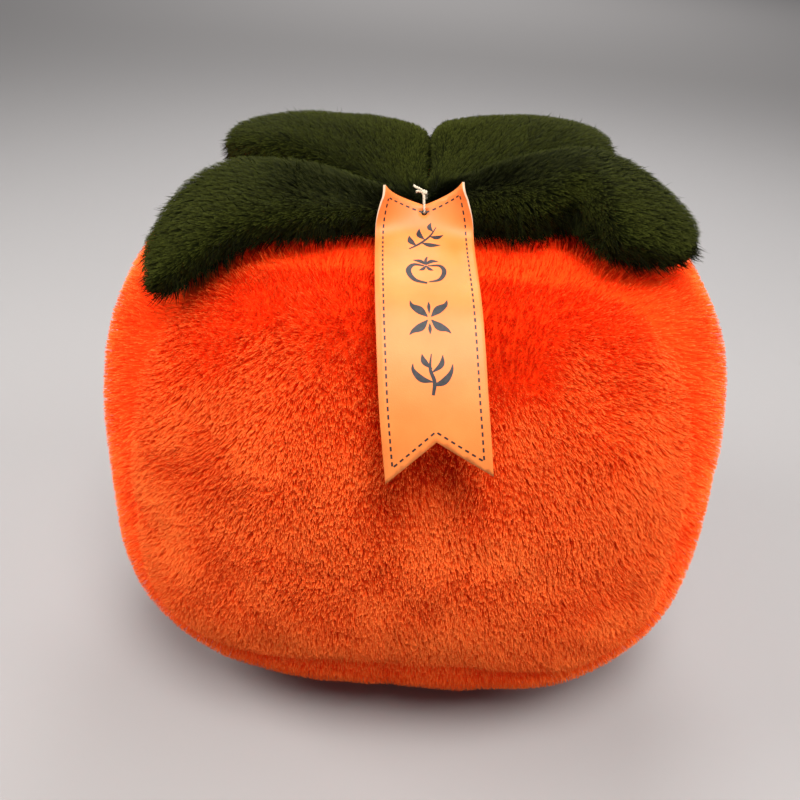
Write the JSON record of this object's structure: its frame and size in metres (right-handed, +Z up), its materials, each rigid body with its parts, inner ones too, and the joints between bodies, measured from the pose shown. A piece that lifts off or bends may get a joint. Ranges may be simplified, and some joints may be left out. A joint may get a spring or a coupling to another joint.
{
  "type": "plush persimmon cushion",
  "caption": "Stuffed plush cushion shaped as a persimmon, with padded calyx leaves on top and a notched ribbon tag tied to the calyx.",
  "frame": {"origin": "middle of the flat spot on the underside that the cushion stands on", "axes": "+X to the cushion's right as seen from the front, along its width; -Y towards the front, where the tag hangs; +Z up through the calyx"},
  "size_m": [0.453, 0.3821, 0.4263],
  "materials": {
    "fibre": "loose white polyester fibre",
    "plush_orange": "orange-red faux rabbit fur, dense soft pile",
    "plush_green": "dark olive green faux rabbit fur, longer pile",
    "tag_leather": "smooth satin peach-orange imitation leather with printed dashes",
    "thread": "cream twisted cotton"
  },
  "bodies": {
    "root": {"filling": "fibre", "front_panel": "plush_orange", "side_band": "plush_orange", "back_panel": "plush_orange", "leaf_front_left": "plush_green", "leaf_front_right": "plush_green", "leaf_back_left": "plush_green", "leaf_back_right": "plush_green", "tag": "tag_leather", "tag_thread": "thread"}
  },
  "joints": []
}
